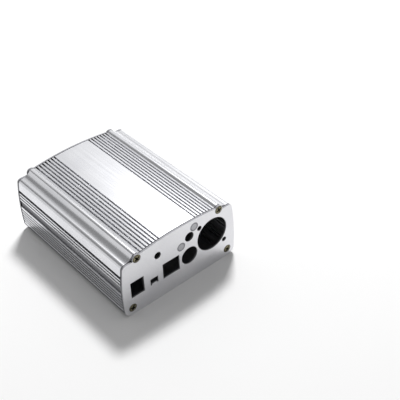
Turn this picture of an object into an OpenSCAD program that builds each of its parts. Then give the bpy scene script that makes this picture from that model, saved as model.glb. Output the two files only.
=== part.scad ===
// Extruded aluminium instrument enclosure: a finned top cover and a finned bottom tray
// that interlock along a seam on each side, closed by two screwed end plates.
// Origin: middle of the underside. +X to the right seen from the front, +Y to the rear, +Z up.

/* [Extrusions] */
// Cut length of the two extrusions
body_l = 114; // [80:1:200]
// Width over the side fins
body_w = 91.4; // [90:0.2:96]
// Height from the underside to the crown
body_h = 47.2; // [46:0.2:52]
// Radius of the crown arc
crown_r = 215; // [190:5:400]
// Radius of the slightly bulged side walls
side_r = 165; // [150:5:260]
// Height at which the side walls bulge out most
side_z = 16; // [12:1:22]
// Side wall between the cavity and the bottom of a groove
wall_t = 1.8; // [1.4:0.1:2.2]
// Thickness of the floor
floor_t = 2.2; // [1.8:0.1:3]
// Metal left under a top groove
web_t = 1.2; // [1:0.1:1.6]
// Radius of the lower long edges
base_r = 5.5; // [4:0.5:6]

/* [Shoulders and flutes] */
// Drop from the crown to the flat shoulder outside each flute
shoulder_drop = 5.2; // [4.6:0.1:6.2]
// Radius of the shoulder's outer edge
shoulder_r = 3; // [2:0.1:3.2]
// Radius of the concave flute beside the screw ridge
flute_r = 7.8; // [7.6:0.1:8.6]
// Distance of the flute's axis from the side of the body
flute_inset = 4.7; // [4.6:0.1:5]
// Angle round the screw ridge at which the flute begins
ridge_turn = 30; // [26:1:32]

/* [Top fins] */
// Distance from an upper port to the middle of the nearest straight groove
groove_inset = 3.95; // [3.8:0.05:5]
// Number of straight grooves on each side of the smooth centre band
top_grooves = 7; // [3:1:8]
// Distance between groove centres
top_pitch = 2.4; // [2:0.05:2.6]
// Width of a top groove
top_groove_w = 1.2; // [0.8:0.05:1.4]
// Depth of a top groove below the crown
top_groove_d = 1.8; // [0.8:0.1:1.8]

/* [Side fins] */
// Drop from the crown to the middle of the seam groove
seam_drop = 14.1; // [13.6:0.1:14.4]
// Width of the seam groove
seam_w = 2.2; // [1.6:0.1:2.4]
// Depth of the seam groove
seam_d = 1.5; // [1:0.1:1.7]
// Width of a side groove
side_groove_w = 1.1; // [0.8:0.05:1.3]
// Depth of a side groove
side_groove_d = 1.5; // [0.8:0.1:1.6]
// Drop from the seam to the next groove
upper_drop = 2.75; // [2.7:0.05:3.2]
// Grooves between the seam and the plain channel
upper_grooves = 2; // [1:1:2]
// Distance between the upper groove centres
upper_pitch = 2.55; // [2.2:0.05:2.6]
// Drop from the seam to the lower edge of the plain channel
channel_drop = 12.6; // [12.4:0.1:13]
// Width of the plain channel
channel_w = 5.6; // [4:0.1:5.8]
// Depth of the plain channel
channel_d = 0.8; // [0.4:0.1:1.2]
// Grooves below the plain channel
lower_grooves = 5; // [3:1:5]
// Distance between the lower groove centres
lower_pitch = 2.5; // [2.2:0.05:2.5]
// Height of the middle of the base groove
base_groove_z = 4.2; // [4:0.1:5]
// Width of the base groove
base_groove_w = 1.8; // [1:0.1:2]

/* [Interlocking seam] */
// Height of the tongue above the seat of the cover
tongue_h = 4.4; // [3:0.1:5]
// Radius of the hook bead along the tongue
bead_r = 0.35; // [0.2:0.05:0.4]
// Sliding clearance in the seam
slide_gap = 0.1; // [0.05:0.01:0.15]

/* [Board slots] */
// Undersides of the two board slots
slot_heights = [12.4, 23.2]; // [10:0.2:26]
// Height of a board slot
slot_w = 1.8; // [1.2:0.1:2.2]
// Depth of a board slot
slot_d = 2.2; // [1.5:0.1:3]
// Thickness of the ribs that form a slot
rib_t = 1.3; // [1:0.1:1.6]

/* [Screw ports] */
// Distance of the upper ports from the side of the body
port_top_inset = 12.9; // [12.4:0.1:13.4]
// Drop from the crown to the upper ports
port_drop = 4.3; // [4:0.1:4.5]
// Distance of the lower ports from the side of the body
port_low_inset = 6.35; // [6:0.05:7]
// Height of the lower ports
port_low_z = 5.6; // [5.6:0.1:6.4]
// Outer radius of the wall round a port
port_wall_r = 3.2; // [2.8:0.1:3.4]
// Width of the slot along a port
port_slot_w = 1.6; // [1:0.1:2]
// Direction in which the upper ports open to the cavity, in degrees
port_top_turn = -120; // [-140:5:-100]
// Direction in which the lower ports open to the cavity, in degrees
port_low_turn = 180; // [150:5:185]

/* [Screws] */
// Diameter of a screw
screw_d = 2.9; // [2.8:0.1:3]
// Length of a screw from the face of its plate
screw_l = 9.5; // [6:0.5:12]
// Diameter of the countersunk head
head_d = 5.8; // [5.2:0.1:5.8]
// Height of the domed top of the head
dome_h = 0.45; // [0.2:0.05:0.6]
// Clearance round the screw in its port
thread_gap = 0.05; // [0.03:0.01:0.1]

/* [End plates] */
// Thickness of the end plates
plate_t = 1.5; // [1.5:0.1:3]
// Width and depth of the fine step round the inner edge of an end plate
step_w = 0.3; // [0.1:0.05:0.4]
// Extra radius of the screw holes in the plates
hole_gap = 0.25; // [0.15:0.05:0.4]
// Extra radius of the countersinks round the screw heads
sink_gap = 0.1; // [0.05:0.01:0.12]

/* [Front cut-outs] */
// Middle of the power jack opening
dc_x = -34.3; // [-35:0.1:-33]
// Width of the power jack opening
dc_w = 10.3; // [8:0.1:10.4]
// Height of the power jack opening
dc_h = 12.4; // [9:0.1:13]
// Lower edge of the power jack and data socket openings
jack_z = 13.8; // [13.6:0.1:14.6]
// Middle of the small data socket opening
mini_x = -21.4; // [-22:0.1:-20]
// Width of the small data socket opening
mini_w = 6.1; // [5:0.1:7]
// Height of the small data socket opening
mini_h = 5; // [3:0.1:5.4]
// Lower edge of the small data socket opening
mini_z = 14.4; // [14:0.1:16]
// Width of the foot at each lower corner of the small opening
mini_foot_w = 1.1; // [0.6:0.1:2]
// Height of the feet of the small opening
mini_foot_h = 1.1; // [0.6:0.1:2]
// Middle of the square data socket opening
usb_x = -7.6; // [-8.2:0.1:-7.4]
// Width of the square data socket opening
usb_w = 13.4; // [11:0.1:13.6]
// Height of the square data socket opening
usb_h = 11.9; // [10:0.1:12.4]
// Middle of the indicator hole
lamp_x = -17.4; // [-20:0.1:-10]
// Drop from the crown to the indicator hole
lamp_drop = 11.6; // [8:0.1:14]
// Diameter of the indicator hole
lamp_d = 5.1; // [3:0.1:6]
// Middle of the large control hole
knob_x = 7.4; // [6.5:0.1:8]
// Height of the large control hole
knob_z = 20; // [16:0.1:21]
// Diameter of the large control hole
knob_d = 13; // [9:0.1:13]
// Middle of the small control hole
switch_x = 8; // [7.5:0.1:8.5]
// Drop from the crown to the small control hole
switch_drop = 11.9; // [11.7:0.1:12.2]
// Diameter of the small control hole
switch_d = 7; // [5:0.1:7.2]
// Middle of the panel connector hole
socket_x = 26.6; // [26:0.1:27.2]
// Drop from the crown to the panel connector hole
socket_drop = 20.7; // [20.4:0.1:21.2]
// Diameter of the panel connector hole
socket_d = 24.6; // [20:0.1:24.8]
// Sideways distance between the connector's two screw holes
socket_dx = 20.4; // [20:0.1:21]
// Upward distance between the connector's two screw holes
socket_dz = 21.4; // [21:0.1:22]
// Diameter of the connector's screw holes
socket_screw_d = 3.6; // [3:0.1:3.8]

/* [Clinch standoffs] */
// Diameter of the flush head of a standoff
clinch_head_d = 6.2; // [5.7:0.1:6.4]
// Diameter of the standoff behind the plate
clinch_d = 5.2; // [4.6:0.1:5.6]
// Length of the standoff behind the plate
clinch_l = 6; // [3:0.5:10]
// Diameter of the blind threaded hole
clinch_bore_d = 2.5; // [2:0.1:3]
// Distance of the upper standoff from the middle
clinch_top_x = 12.2; // [12.1:0.1:12.5]
// Drop from the crown to the upper standoff
clinch_drop = 6.2; // [6.1:0.1:6.3]
// Distance of the lower standoff from the middle
clinch_low_x = 1.1; // [-4:0.1:1.4]
// Height of the lower standoff
clinch_low_z = 30.9; // [29.6:0.1:33]

/* [Hidden] */
$fn = 96;
arc_fn = 720;
over = wall_t;
reach = body_w;
half_w = body_w / 2;
shoulder_z = body_h - shoulder_drop;
edge_rise = shoulder_r / 20;
seam_z = body_h - seam_drop;
port_top_x = half_w - port_top_inset;
port_top_z = body_h - port_drop;
port_low_x = half_w - port_low_inset;
flute_x = half_w - flute_inset;
band_half = port_top_x - groove_inset - (top_grooves - 1) * top_pitch;
channel_z = seam_z - channel_drop;
socket_z = body_h - socket_drop;
clinch_places = [[clinch_top_x, body_h - clinch_drop], [clinch_low_x, clinch_low_z]];
face_y = body_l / 2 + plate_t;
head_r = head_d / 2;
screw_r = screw_d / 2;
cone_h = head_r - screw_r;
port_r = screw_r + thread_gap;
fin_zone_d = max(side_groove_d, seam_d);
inner_x = half_w - fin_zone_d - wall_t - side_sag(seam_z);
top_t = web_t + top_groove_d;
seat_z = seam_z - seam_w / 2;
lip_top_z = seam_z + seam_w / 2;
lap_x = inner_x + wall_t / 2;
tongue_top_z = seat_z + tongue_h;
bead_z = tongue_top_z - 2 * bead_r;

// How far the crown has dropped at a distance x from the middle
function crown_sag(x) = crown_r - sqrt(crown_r * crown_r - x * x);
function crown_z(x) = body_h - crown_sag(x);
// How far the side wall has drawn in at a height z
function side_sag(z) = side_r - sqrt(side_r * side_r - (z - side_z) * (z - side_z));
function side_x(z) = half_w - side_sag(z);

// Draws its child on the right and on the left
module both_sides() {
    children();
    mirror([1, 0]) children();
}

// Stands a section up along Y between two distances from the front
module along(y0, y1) {
    translate([0, y1, 0]) rotate([90, 0, 0]) linear_extrude(y1 - y0) children();
}

// The waste outside a rounding of radius r whose centre is at x, z; start is the
// height of the waste's lower edge above that centre
module corner_waste(x, z, r, start) {
    translate([x, z]) difference() {
        translate([0, start]) square(r + over);
        circle(r);
    }
}

// Outline of the closed body before its grooves are cut, drawn in by an inset
module body_outline(inset) {
    corner_x = side_x(base_r) - base_r;
    edge_x = side_x(shoulder_z - shoulder_r) - shoulder_r;
    difference() {
        intersection() {
            translate([0, body_h - crown_r]) circle(crown_r - inset, $fn = arc_fn);
            translate([half_w - side_r, side_z]) circle(side_r - inset, $fn = arc_fn);
            translate([side_r - half_w, side_z]) circle(side_r - inset, $fn = arc_fn);
            translate([-reach, inset]) square([2 * reach, reach]);
        }
        both_sides() {
            corner_waste(corner_x, base_r, base_r - inset, inset - base_r - over);
            corner_waste(edge_x, shoulder_z - shoulder_r, shoulder_r - inset, edge_rise);
            translate([port_top_x, shoulder_z - inset]) square([reach, reach]);
        }
    }
    for (side = [-1, 1])
        translate([side * port_top_x, port_top_z]) circle(port_wall_r - inset);
}

// Straight grooves cut into the crown, right side
module top_cuts() {
    for (i = [0 : top_grooves - 1]) {
        x = band_half + i * top_pitch;
        translate([x - top_groove_w / 2, crown_z(x) - top_groove_d])
            square([top_groove_w, 2 * top_groove_d]);
    }
}

// One groove cut into the side wall, right side
module side_cut(z, w, d) {
    translate([side_x(z) - d, z - w / 2]) square([reach, w]);
}

// All the grooves cut into the side wall, right side
module side_cuts() {
    side_cut(seam_z, seam_w, seam_d);
    for (i = [0 : upper_grooves - 1])
        side_cut(seam_z - upper_drop - i * upper_pitch, side_groove_w, side_groove_d);
    side_cut(channel_z + channel_w / 2, channel_w, channel_d);
    for (i = [1 : lower_grooves])
        side_cut(channel_z - i * lower_pitch, side_groove_w, side_groove_d);
    side_cut(base_groove_z, base_groove_w, side_groove_d);
}

// Round hollow of the flute outside the screw ridge, right side
module flute(extra) {
    translate([flute_x, shoulder_z + flute_r]) circle(flute_r + extra);
}

// Metal that carries the flutes between the two ridges and the flat shoulders
module flute_banks() {
    edge_x = port_top_x + port_wall_r * sin(ridge_turn);
    edge_z = port_top_z + port_wall_r * cos(ridge_turn);
    low_z = shoulder_z - wall_t;
    polygon([
        [-flute_x, low_z], [flute_x, low_z], [flute_x, shoulder_z], [edge_x, edge_z],
        [port_top_x, port_top_z], [-port_top_x, port_top_z], [-edge_x, edge_z], [-flute_x, shoulder_z]]);
}

// Room inside the body, with the walls of the upper screw ports left standing
module cavity() {
    difference() {
        intersection() {
            translate([0, body_h - crown_r]) circle(crown_r - top_t, $fn = arc_fn);
            translate([-inner_x, floor_t]) square([2 * inner_x, reach]);
        }
        both_sides() {
            flute(wall_t);
            translate([port_top_x, port_top_z]) circle(port_wall_r);
        }
    }
}

// Bore of a port with the slot that opens it to the cavity
module port_bore(x, z, turn) {
    translate([x, z]) {
        circle(port_r);
        rotate(turn) translate([0, -port_slot_w / 2]) square([2 * port_wall_r, port_slot_w]);
    }
}

// Section of the body with everything that both extrusions have in common
module body_section() {
    difference() {
        union() {
            body_outline(0);
            flute_banks();
        }
        cavity();
        both_sides() {
            top_cuts();
            side_cuts();
            flute(0);
            port_bore(port_top_x, port_top_z, port_top_turn);
        }
    }
}

// Part of the wall section that belongs to the tray, right side: the wall up to
// the seat, then the tongue with its hook bead; the gap is 0 for the tray itself
module tray_side(gap) {
    translate([0, -over]) square([reach, seat_z + over]);
    square([lap_x + gap, tongue_top_z + gap]);
    translate([lap_x, bead_z]) circle(bead_r + gap);
}

// Two ribs with a board slot between them, right side
module board_slot(z) {
    for (rib_z = [z - rib_t, z + slot_w])
        translate([inner_x - slot_d, rib_z]) square([slot_d + wall_t, rib_t]);
}

// Wall round a lower port, filled out to the floor and to the middle of the side wall
module low_port_wall() {
    fill_w = inner_x + wall_t / 2 - port_low_x;
    fill_z = floor_t / 2;
    translate([port_low_x, port_low_z]) circle(port_wall_r);
    translate([port_low_x - port_wall_r, fill_z]) square([port_wall_r + fill_w, port_low_z - fill_z]);
    translate([port_low_x, port_low_z]) square([fill_w, port_wall_r]);
}

// Upper extrusion: crown, screw ridges, flutes, shoulders and the rebate for the tongue
module top_cover() {
    color("gainsboro") along(-body_l / 2, body_l / 2) difference() {
        body_section();
        both_sides() tray_side(slide_gap);
    }
}

// Lower extrusion: floor, finned walls, board slots, lower screw ports and tongues
module bottom_tray() {
    color("silver") along(-body_l / 2, body_l / 2) difference() {
        union() {
            intersection() {
                body_section();
                both_sides() tray_side(0);
            }
            both_sides() {
                for (z = slot_heights) board_slot(z);
                low_port_wall();
            }
        }
        both_sides() port_bore(port_low_x, port_low_z, port_low_turn);
    }
}

// The four screw places of an end plate
module at_screws() {
    for (side = [-1, 1]) {
        translate([side * port_top_x, 0, port_top_z]) children();
        translate([side * port_low_x, 0, port_low_z]) children();
    }
}

// End plate with its four countersunk holes, its outer face at y = 0
module end_plate() {
    difference() {
        union() {
            along(0, plate_t - step_w) body_outline(0);
            along(0, plate_t) body_outline(step_w);
        }
        at_screws() translate([0, -over, 0]) rotate([-90, 0, 0])
            cylinder(r = screw_r + hole_gap, h = plate_t + 2 * over);
        at_screws() rotate([-90, 0, 0])
            cylinder(r1 = head_r + sink_gap, r2 = screw_r + sink_gap, h = cone_h);
    }
}

// Straight-sided opening for a socket, measured from its lower middle
module opening(x, z, w, h) {
    translate([x - w / 2, -over, z]) cube([w, plate_t + 2 * over, h]);
}

// Round opening through the plate
module round_opening(x, z, d) {
    translate([x, -over, z]) rotate([-90, 0, 0]) cylinder(d = d, h = plate_t + 2 * over);
}

// Small socket opening: a bar with a foot at each lower corner
module footed_opening() {
    opening(mini_x, mini_z + mini_foot_h, mini_w, mini_h - mini_foot_h);
    for (side = [-1, 1])
        opening(mini_x + side * (mini_w - mini_foot_w) / 2, mini_z, mini_foot_w, mini_h);
}

// Front plate with the openings for sockets, controls and standoffs
module front_plate() {
    color("lightgray") translate([0, -face_y, 0]) difference() {
        end_plate();
        opening(dc_x, jack_z, dc_w, dc_h);
        footed_opening();
        opening(usb_x, jack_z, usb_w, usb_h);
        round_opening(lamp_x, body_h - lamp_drop, lamp_d);
        round_opening(knob_x, knob_z, knob_d);
        round_opening(switch_x, body_h - switch_drop, switch_d);
        round_opening(socket_x, socket_z, socket_d);
        for (side = [-1, 1])
            round_opening(socket_x + side * socket_dx / 2,
                socket_z - side * socket_dz / 2, socket_screw_d);
        for (place = clinch_places)
            round_opening(place[0], place[1], clinch_head_d + 2 * thread_gap);
    }
}

// Rear plate, left blank
module rear_plate() {
    color("lightgray") translate([0, face_y, 0]) rotate([0, 0, 180]) end_plate();
}

// Countersunk screw with a low domed head
module screw() {
    dome_r = (head_r * head_r + dome_h * dome_h) / (2 * dome_h);
    rotate([-90, 0, 0]) {
        cylinder(r = screw_r, h = screw_l);
        cylinder(r1 = head_r, r2 = screw_r, h = cone_h);
    }
    intersection() {
        translate([0, dome_r - dome_h, 0]) sphere(dome_r);
        translate([0, -dome_h - over, 0]) rotate([-90, 0, 0]) cylinder(r = head_r, h = dome_h + over);
    }
}

// The four screws of the front plate
module front_screws() {
    color("darkkhaki") translate([0, -face_y, 0]) at_screws() screw();
}

// The four screws of the rear plate
module rear_screws() {
    color("darkkhaki") translate([0, face_y, 0]) rotate([0, 0, 180]) at_screws() screw();
}

// Standoffs pressed into the front plate, their round heads flush with its face
// and their threaded holes open to the rear only
module clinch_standoffs() {
    color("darkgray") for (place = clinch_places)
        translate([place[0], -face_y, place[1]]) rotate([-90, 0, 0]) difference() {
            union() {
                cylinder(d = clinch_head_d, h = plate_t);
                cylinder(d = clinch_d, h = plate_t + clinch_l);
            }
            translate([0, 0, plate_t]) cylinder(d = clinch_bore_d, h = clinch_l + over);
        }
}

top_cover();
bottom_tray();
front_plate();
rear_plate();
front_screws();
rear_screws();
clinch_standoffs();
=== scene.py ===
import math
import bpy
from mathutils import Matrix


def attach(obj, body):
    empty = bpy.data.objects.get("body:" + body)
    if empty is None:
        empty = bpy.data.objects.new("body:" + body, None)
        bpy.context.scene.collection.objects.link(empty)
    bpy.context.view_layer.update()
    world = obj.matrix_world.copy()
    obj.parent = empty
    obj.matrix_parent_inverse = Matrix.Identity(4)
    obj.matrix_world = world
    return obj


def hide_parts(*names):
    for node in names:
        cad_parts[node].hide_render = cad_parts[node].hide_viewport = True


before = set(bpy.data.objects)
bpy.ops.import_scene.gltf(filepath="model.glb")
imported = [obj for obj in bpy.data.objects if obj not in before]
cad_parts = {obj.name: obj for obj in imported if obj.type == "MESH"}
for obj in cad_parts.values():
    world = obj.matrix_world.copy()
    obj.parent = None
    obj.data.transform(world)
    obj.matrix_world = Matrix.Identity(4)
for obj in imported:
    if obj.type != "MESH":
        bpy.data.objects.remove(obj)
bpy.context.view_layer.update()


# View and studio. The camera looks down on the case from its front left corner.
# A softbox stands high at the rear right, pale panels stand round the set, and the
# case rests on a pale table.
scene = bpy.context.scene
scene.view_settings.view_transform = "Standard"
bpy.ops.object.select_all(action="DESELECT")
bpy.ops.object.camera_add(
    location=(-0.23595, -0.36609, 0.38713),
    rotation=(math.radians(50.5625), math.radians(1.8828), math.radians(-41.0777)))
camera = bpy.context.object
camera.name = "camera"
camera.data.sensor_width = 36.0
camera.data.lens = 76.06
camera.data.clip_start = 0.01
scene.camera = camera


lamp_aim = (0.0, 0.0, 0.02)


def softbox(name, place, width, height, watts):
    reach = [a - p for a, p in zip(lamp_aim, place)]
    turn = math.atan2(reach[0], -reach[1])
    lean = math.atan2(math.hypot(reach[0], reach[1]), -reach[2])
    bpy.ops.object.light_add(type="AREA", location=place,
                             rotation=(lean, 0.0, turn + math.pi))
    lamp = bpy.context.object
    lamp.name = name
    lamp.data.shape = "RECTANGLE"
    lamp.data.size = width
    lamp.data.size_y = height
    lamp.data.energy = watts


softbox("key_softbox", (0.785, 0.652, 1.48), 0.32, 0.32, 28.0)
softbox("rear_panel", (0.687, 1.057, 0.985), 1.85, 0.74, 2.0)
softbox("left_screen", (-1.14, 0.89, 0.45), 1.30, 0.90, 1.9)
softbox("right_screen", (1.20, 0.89, 0.26), 1.20, 0.50, 1.5)
softbox("top_panel", (0.0, 0.0, 1.6), 1.0, 1.0, 1.6)

studio_fill = 0.28
world = scene.world or bpy.data.worlds.new("studio")
scene.world = world
world.use_nodes = True
backdrop = world.node_tree.nodes["Background"]
backdrop.inputs["Color"].default_value = (1.0, 1.0, 1.0, 1.0)
backdrop.inputs["Strength"].default_value = studio_fill

table_side, paper_white = 8.0, 0.92
bpy.ops.mesh.primitive_plane_add(size=table_side, location=(0.0, 0.0, 0.0))
table = bpy.context.object
table.name = "table"
bpy.ops.object.transform_apply(location=True, rotation=True, scale=True)
paper = bpy.data.materials.new("white_paper")
paper.use_nodes = True
shader = paper.node_tree.nodes["Principled BSDF"]
shader.inputs["Base Color"].default_value = (paper_white, paper_white, paper_white, 1.0)
shader.inputs["Roughness"].default_value = 0.9
shader.inputs["Specular IOR Level"].default_value = 0.0
table.data.materials.append(paper)


# Cover and tray. Two aluminium extrusions that slide together, cut to length, finely
# bead blasted and clear anodised. The die leaves faint lines along them. The floors of the
# narrow grooves are rougher and darkened with painted shade, a painted shadow line runs
# along the cut ends at the gap to the end plates, and the edges are lightened as wear and
# painted highlight.
crown_radius, crown_centre = 0.215, -0.1678
flank_radius, flank_centre_x, flank_centre_z = 0.165, 0.1193, 0.016
crown_groove_limit = 0.0312
flank_groove_limit = 0.0405
groove_lip, groove_floor, limit_blend = 0.0001, 0.0010, 0.0004
cut_end, gap_shadow_start, gap_shadow_full = 0.0570, 0.0006, 0.0002
crown_groove_share, flank_groove_share, gap_shadow_share = 0.42, 0.85, 0.8
satin_grey, satin_pale = (0.745, 0.75, 0.78), (0.785, 0.79, 0.815)
die_line_grey, bare_and_highlit_edge = (0.67, 0.675, 0.70), (0.86, 0.86, 0.87)
painted_shade_grey = (0.10, 0.10, 0.11)


class Finish:
    def __init__(self, name):
        self.material = bpy.data.materials.new(name)
        self.material.use_nodes = True
        self.tree = self.material.node_tree
        self.shader = self.tree.nodes["Principled BSDF"]
        self.shader.inputs["Metallic"].default_value = 1.0
        self.place = self.tree.nodes.new("ShaderNodeTexCoord").outputs["Object"]
        axes = self.tree.nodes.new("ShaderNodeSeparateXYZ")
        self.tree.links.new(self.place, axes.inputs[0])
        self.x, self.y, self.z = axes.outputs

    def put(self, socket, value):
        if isinstance(value, bpy.types.NodeSocket):
            self.tree.links.new(value, socket)
        else:
            socket.default_value = value

    def sum(self, operation, *values):
        node = self.tree.nodes.new("ShaderNodeMath")
        node.operation = operation
        for socket, value in zip(node.inputs, values):
            self.put(socket, value)
        return node.outputs[0]

    def distance(self, a, b):
        square = self.sum("ADD", self.sum("MULTIPLY", a, a), self.sum("MULTIPLY", b, b))
        return self.sum("SQRT", square)

    def fade(self, value, start, end, low=0.0, high=1.0):
        node = self.tree.nodes.new("ShaderNodeMapRange")
        node.interpolation_type = "SMOOTHSTEP"
        for name, number in (("Value", value), ("From Min", start), ("From Max", end),
                             ("To Min", low), ("To Max", high)):
            self.put(node.inputs[name], number)
        return node.outputs["Result"]

    def noise(self, scale, stretch=(1.0, 1.0, 1.0)):
        mapping = self.tree.nodes.new("ShaderNodeMapping")
        mapping.inputs["Scale"].default_value = [scale * s for s in stretch]
        self.tree.links.new(self.place, mapping.inputs["Vector"])
        node = self.tree.nodes.new("ShaderNodeTexNoise")
        node.inputs["Scale"].default_value = 1.0
        node.inputs["Detail"].default_value = 3.0
        self.tree.links.new(mapping.outputs[0], node.inputs["Vector"])
        return node.outputs["Fac"]

    def mix(self, factor, first, second):
        node = self.tree.nodes.new("ShaderNodeMix")
        node.data_type = "RGBA"
        self.put(node.inputs[0], factor)
        for socket, colour in ((node.inputs[6], first), (node.inputs[7], second)):
            plain = not isinstance(colour, bpy.types.NodeSocket)
            self.put(socket, (*colour, 1.0) if plain else colour)
        return node.outputs[2]

    def rounded(self, radius):
        node = self.tree.nodes.new("ShaderNodeBevel")
        node.samples = 4
        node.inputs["Radius"].default_value = radius
        return node.outputs[0]

    def edges(self, soft_normal):
        geometry = self.tree.nodes.new("ShaderNodeNewGeometry")
        node = self.tree.nodes.new("ShaderNodeVectorMath")
        node.operation = "DOT_PRODUCT"
        self.tree.links.new(soft_normal, node.inputs[0])
        self.tree.links.new(geometry.outputs["True Normal"], node.inputs[1])
        flat_cosine, rounded_cosine = 0.99, 0.9
        return self.fade(node.outputs["Value"], flat_cosine, rounded_cosine)

    def sheared_edge(self):
        geometry = self.tree.nodes.new("ShaderNodeNewGeometry")
        axes = self.tree.nodes.new("ShaderNodeSeparateXYZ")
        self.tree.links.new(geometry.outputs["True Normal"], axes.inputs[0])
        face_cosine, side_cosine = 0.8, 0.4
        return self.fade(self.sum("ABSOLUTE", axes.outputs[1]), face_cosine, side_cosine)

    def bump(self, height, depth, normal=None):
        node = self.tree.nodes.new("ShaderNodeBump")
        node.inputs["Strength"].default_value = 1.0
        node.inputs["Distance"].default_value = depth
        self.tree.links.new(height, node.inputs["Height"])
        if normal is not None:
            self.tree.links.new(normal, node.inputs["Normal"])
        return node.outputs[0]

    def finish(self, colour, roughness, normal):
        self.put(self.shader.inputs["Base Color"], colour)
        self.put(self.shader.inputs["Roughness"], roughness)
        self.put(self.shader.inputs["Normal"], normal)
        return self.material


satin = Finish("satin_anodised_extrusion")
die_lines = satin.noise(1.0, (2600.0, 14.0, 2600.0))
blast = satin.noise(3600.0)
cloud = satin.noise(45.0)
width = satin.sum("ABSOLUTE", satin.x)
crown_depth = satin.sum("SUBTRACT", crown_radius,
                        satin.distance(satin.x, satin.sum("SUBTRACT", satin.z, crown_centre)))
flank_depth = satin.sum("SUBTRACT", flank_radius,
                        satin.distance(satin.sum("ADD", width, flank_centre_x),
                                       satin.sum("SUBTRACT", satin.z, flank_centre_z)))
# Painted shade: the floors of the grooves in the crown and the flanks darken with their depth
# below the outer surface.
crown_shade = satin.sum("MULTIPLY", satin.fade(crown_depth, groove_lip, groove_floor),
                        satin.fade(width, crown_groove_limit,
                                   crown_groove_limit - limit_blend))
flank_shade = satin.sum("MULTIPLY", satin.fade(flank_depth, groove_lip, groove_floor),
                        satin.fade(satin.z, flank_groove_limit,
                                   flank_groove_limit - limit_blend))
groove_and_gap_shade = satin.sum("MAXIMUM", satin.sum("MULTIPLY", crown_shade, crown_groove_share),
                   satin.sum("MULTIPLY", flank_shade, flank_groove_share))
# Painted shadow: a dark line along each cut end, where the gap to the end plate lies in shade.
painted_gap_shadow = satin.fade(satin.sum("ABSOLUTE", satin.y),
                      cut_end - gap_shadow_start, cut_end - gap_shadow_full)
groove_and_gap_shade = satin.sum("MAXIMUM", groove_and_gap_shade, satin.sum("MULTIPLY", painted_gap_shadow, gap_shadow_share))
soft_edges = satin.rounded(0.00012)
# Edge wear and painted highlight: the edges are lightened towards bare metal.
worn_and_highlit_edges = satin.edges(soft_edges)
tone = satin.mix(satin.fade(cloud, 0.35, 0.65), satin_grey, satin_pale)
tone = satin.mix(satin.sum("MULTIPLY", satin.fade(die_lines, 0.4, 0.75), 0.35),
                 tone, die_line_grey)
tone = satin.mix(satin.sum("MULTIPLY", worn_and_highlit_edges, 0.4), tone, bare_and_highlit_edge)
tone = satin.mix(satin.sum("MULTIPLY", groove_and_gap_shade, 0.9), tone, painted_shade_grey)
dull = satin.sum("ADD", satin.fade(die_lines, 0.3, 0.7, 0.215, 0.25),
                 satin.sum("MULTIPLY", groove_and_gap_shade, 0.75))
relief = satin.bump(blast, 0.000002, satin.bump(die_lines, 0.0000010))
satin_aluminium = satin.finish(tone, dull, relief)


def dress(name, material):
    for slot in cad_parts[name].material_slots:
        slot.material = material


for name in ("top_cover", "bottom_tray"):
    dress(name, satin_aluminium)


# End plates. Flat aluminium plates, punched to shape, bead blasted more coarsely and
# clear anodised, and each held by four screws. A fine step round the inner edge is
# darkened with a painted shadow against the extrusions, and the rims are lightened as
# wear and painted highlight.
step_start, step_outer, step_inner = 0.0573, 0.00004, 0.00002
plate_grey, plate_pale = (0.785, 0.785, 0.81), (0.825, 0.825, 0.845)
blast_grey, bare_and_highlit_rim = (0.70, 0.70, 0.73), (0.88, 0.88, 0.89)
sheared_grey, step_shadow = (0.38, 0.38, 0.40), (0.03, 0.03, 0.03)
blasted = Finish("blasted_end_plate")
blast = blasted.noise(2600.0)
cloud = blasted.noise(60.0)
# Painted shadow: the fine step round the inner edge is darkened where it lies in shade against
# the extrusions.
step_shadow_mask = blasted.fade(blasted.sum("ABSOLUTE", blasted.y),
                    step_start + step_outer, step_start - step_inner)
soft_edges = blasted.rounded(0.00015)
# Edge wear and painted highlight: the rims are lightened towards bare metal.
worn_and_highlit_edges = blasted.edges(soft_edges)
tone = blasted.mix(blasted.fade(cloud, 0.35, 0.65), plate_grey, plate_pale)
tone = blasted.mix(blasted.sum("MULTIPLY", blasted.fade(blast, 0.45, 0.7), 0.5),
                   tone, blast_grey)
tone = blasted.mix(blasted.sum("MULTIPLY", worn_and_highlit_edges, 0.6), tone, bare_and_highlit_rim)
sheared = blasted.sheared_edge()
tone = blasted.mix(sheared, tone, sheared_grey)
tone = blasted.mix(step_shadow_mask, tone, step_shadow)
dull = blasted.sum("ADD", blasted.fade(cloud, 0.3, 0.7, 0.39, 0.44),
                   blasted.sum("MULTIPLY", sheared, 0.35))
blasted_plate = blasted.finish(tone, dull, blasted.bump(blast, 0.000010, soft_edges))
for name in ("front_plate", "rear_plate"):
    dress(name, blasted_plate)


# Standoffs. Two round steel clinch standoffs pressed into the front plate until their
# heads lie flush, with dull zinc plating. Each head is darker in a ring round its
# outer edge.
standoff_places = ((0.0122, 0.0410), (0.0011, 0.0309))
ring_start, ring_blend = 0.0022, 0.0001
zinc_grey, ring_grey, crystal_grey = (0.47, 0.47, 0.49), (0.24, 0.24, 0.26), (0.42, 0.42, 0.44)
zinc = Finish("dull_zinc_plating")
crystal = zinc.noise(1800.0)
radii = [zinc.distance(zinc.sum("SUBTRACT", zinc.x, x), zinc.sum("SUBTRACT", zinc.z, z))
         for x, z in standoff_places]
ring = zinc.fade(zinc.sum("MINIMUM", *radii), ring_start - ring_blend, ring_start + ring_blend)
tone = zinc.mix(ring, zinc_grey, ring_grey)
tone = zinc.mix(zinc.sum("MULTIPLY", zinc.fade(crystal, 0.4, 0.7), 0.35),
                tone, crystal_grey)
dull = zinc.fade(crystal, 0.3, 0.7, 0.46, 0.56)
dress("clinch_standoffs", zinc.finish(tone, dull, zinc.bump(crystal, 0.000006)))


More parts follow.
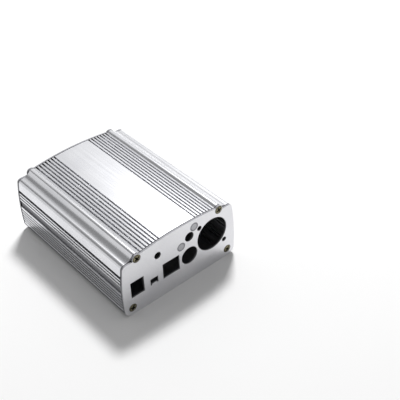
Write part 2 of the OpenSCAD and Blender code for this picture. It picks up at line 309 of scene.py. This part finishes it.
# Screws. Eight countersunk steel screws with raised heads and a cross recess, four at
# each end, cut their own threads in the screw ports of the extrusions. Their dark bronze
# plating is lightened on the rim and round the recess as wear and painted highlight, and
# the recess is painted near black as shade.
head_radius, shank_radius, root_radius = 0.0029, 0.00145, 0.00120
cone_height, dome_height, screw_length = 0.00145, 0.00045, 0.0095
tip_radius, rim_height, neck_height = 0.0004, 0.00008, 0.0002
thread_pitch, thread_start, point_length, first_turn = 0.0006, 0.0022, 0.0011, 0.0014
dome_rings = (0.9, 0.78, 0.62, 0.45, 0.25)
face = 0.0585
dome_radius = (head_radius ** 2 + dome_height ** 2) / (2 * dome_height)


def select_where(test):
    bpy.ops.object.mode_set(mode="OBJECT")
    mesh = bpy.context.object.data
    for part in (mesh.vertices, mesh.edges, mesh.polygons):
        part.foreach_set("select", [False] * len(part))
    for vertex in mesh.vertices:
        vertex.select = test(vertex.co)
    bpy.ops.object.mode_set(mode="EDIT")
    bpy.ops.mesh.select_mode(type="VERT")


profile = [(screw_length - point_length, root_radius)]
turn = screw_length - first_turn
while turn > thread_start:
    profile += [(turn, shank_radius), (turn - thread_pitch / 2, root_radius)]
    turn -= thread_pitch
profile += [(cone_height + neck_height, shank_radius), (cone_height, shank_radius),
            (rim_height, head_radius - rim_height), (0.0, head_radius)]
for share in dome_rings:
    radius = head_radius * share
    rise = math.sqrt(dome_radius ** 2 - radius ** 2) - (dome_radius - dome_height)
    profile.append((-rise, radius))

bpy.ops.object.select_all(action="DESELECT")
bpy.ops.mesh.primitive_circle_add(vertices=48, radius=tip_radius, fill_type="NGON",
                                  location=(0.0, screw_length, 0.0),
                                  rotation=(math.pi / 2, 0.0, 0.0))
screw = bpy.context.object
bpy.ops.object.transform_apply(location=True, rotation=True, scale=True)
bpy.ops.object.mode_set(mode="EDIT")
bpy.ops.mesh.select_all(action="SELECT")
depth, radius = screw_length, tip_radius
for next_depth, next_radius in profile:
    bpy.ops.mesh.extrude_region_move(
        TRANSFORM_OT_translate={"value": (0.0, next_depth - depth, 0.0)})
    grow = next_radius / radius
    bpy.ops.transform.resize(value=(grow, 1.0, grow), center_override=(0.0, next_depth, 0.0))
    depth, radius = next_depth, next_radius
bpy.ops.mesh.select_all(action="SELECT")
bpy.ops.mesh.normals_make_consistent(inside=False)
bpy.ops.object.mode_set(mode="OBJECT")

recess_depth, recess_top, recess_taper = 0.0019, 0.0012, 0.45
arm_width, arm_reach = 0.0013, 0.0023
near_face = arm_width * 0.49
bpy.ops.object.select_all(action="DESELECT")
bpy.ops.mesh.primitive_cube_add(size=arm_width, location=(0.0, 0.0, 0.0))
cutter = bpy.context.object
for axis, side in ((0, 1), (0, -1), (2, 1), (2, -1)):
    select_where(lambda co: co[axis] * side > near_face and abs(co[2 - axis]) < arm_width)
    step = [0.0, 0.0, 0.0]
    step[axis] = side * (arm_reach - arm_width / 2)
    bpy.ops.mesh.extrude_region_move(TRANSFORM_OT_translate={"value": step})
select_where(lambda co: co[1] > 0.0)
bpy.ops.transform.translate(value=(0.0, recess_depth - dome_height - arm_width / 2, 0.0))
bpy.ops.transform.resize(value=(recess_taper, 1.0, recess_taper), center_override=(0.0, 0.0, 0.0))
select_where(lambda co: co[1] < 0.0)
bpy.ops.transform.translate(value=(0.0, arm_width / 2 - recess_top, 0.0))
bpy.ops.mesh.select_all(action="SELECT")
bpy.ops.mesh.normals_make_consistent(inside=False)
bpy.ops.object.mode_set(mode="OBJECT")

bpy.ops.object.select_all(action="DESELECT")
bpy.context.view_layer.objects.active = screw
screw.select_set(True)
recess = screw.modifiers.new("recess", "BOOLEAN")
recess.operation = "DIFFERENCE"
recess.solver = "EXACT"
recess.object = cutter
bpy.ops.object.modifier_apply(modifier="recess")
bpy.data.objects.remove(cutter, do_unlink=True)
bpy.ops.object.shade_smooth_by_angle(angle=math.radians(28.0))

bronze_dark, bronze_light = (0.12, 0.11, 0.065), (0.24, 0.22, 0.15)
worn_and_highlit_bronze, recess_shade = (0.55, 0.53, 0.43), (0.02, 0.019, 0.012)
plating = Finish("bronze_plating")
stain = plating.noise(900.0)
grit = plating.noise(4200.0)
# Painted shade: the cross recess below the plate face is darkened near black.
recess_shade_mask = plating.fade(plating.sum("SUBTRACT", face, plating.sum("ABSOLUTE", plating.y)),
                    -0.00025, 0.0001)
soft_edges = plating.rounded(0.00010)
# Edge wear and painted highlight: the rim and the recess edges are lightened.
worn_and_highlit_edges = plating.edges(soft_edges)
tone = plating.mix(plating.fade(stain, 0.35, 0.65), bronze_dark, bronze_light)
tone = plating.mix(plating.sum("MULTIPLY", worn_and_highlit_edges, 0.5), tone, worn_and_highlit_bronze)
tone = plating.mix(plating.sum("MULTIPLY", recess_shade_mask, 0.9), tone, recess_shade)
dull = plating.fade(stain, 0.3, 0.7, 0.20, 0.30)
bronze_plating = plating.finish(tone, dull, plating.bump(grit, 0.000004, soft_edges))
screw.data.materials.clear()
screw.data.materials.append(bronze_plating)

screw_places = ((-0.0328, 0.0429, 58.0), (0.0328, 0.0429, 73.0),
                (-0.03935, 0.0056, 24.0), (0.03935, 0.0056, 36.0))
ends = (("front", -1.0, 0.0), ("rear", 1.0, math.pi))
rear_twist = 17.0
for end, side, facing in ends:
    for number, (x, z, twist) in enumerate(screw_places, start=1):
        bpy.ops.object.select_all(action="DESELECT")
        bpy.context.view_layer.objects.active = screw
        screw.select_set(True)
        bpy.ops.object.duplicate()
        piece = bpy.context.object
        piece.name = f"{end}_screw_{number}"
        piece.rotation_euler = (0.0, math.radians(twist + rear_twist * (side + 1.0)), 0.0)
        bpy.ops.object.transform_apply(location=True, rotation=True, scale=True)
        piece.rotation_euler = (0.0, 0.0, facing)
        piece.location = (x, side * face, z)
        bpy.ops.object.transform_apply(location=True, rotation=True, scale=True)
        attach(piece, "root")
        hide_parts(f"{end}_screws")
bpy.data.objects.remove(screw, do_unlink=True)
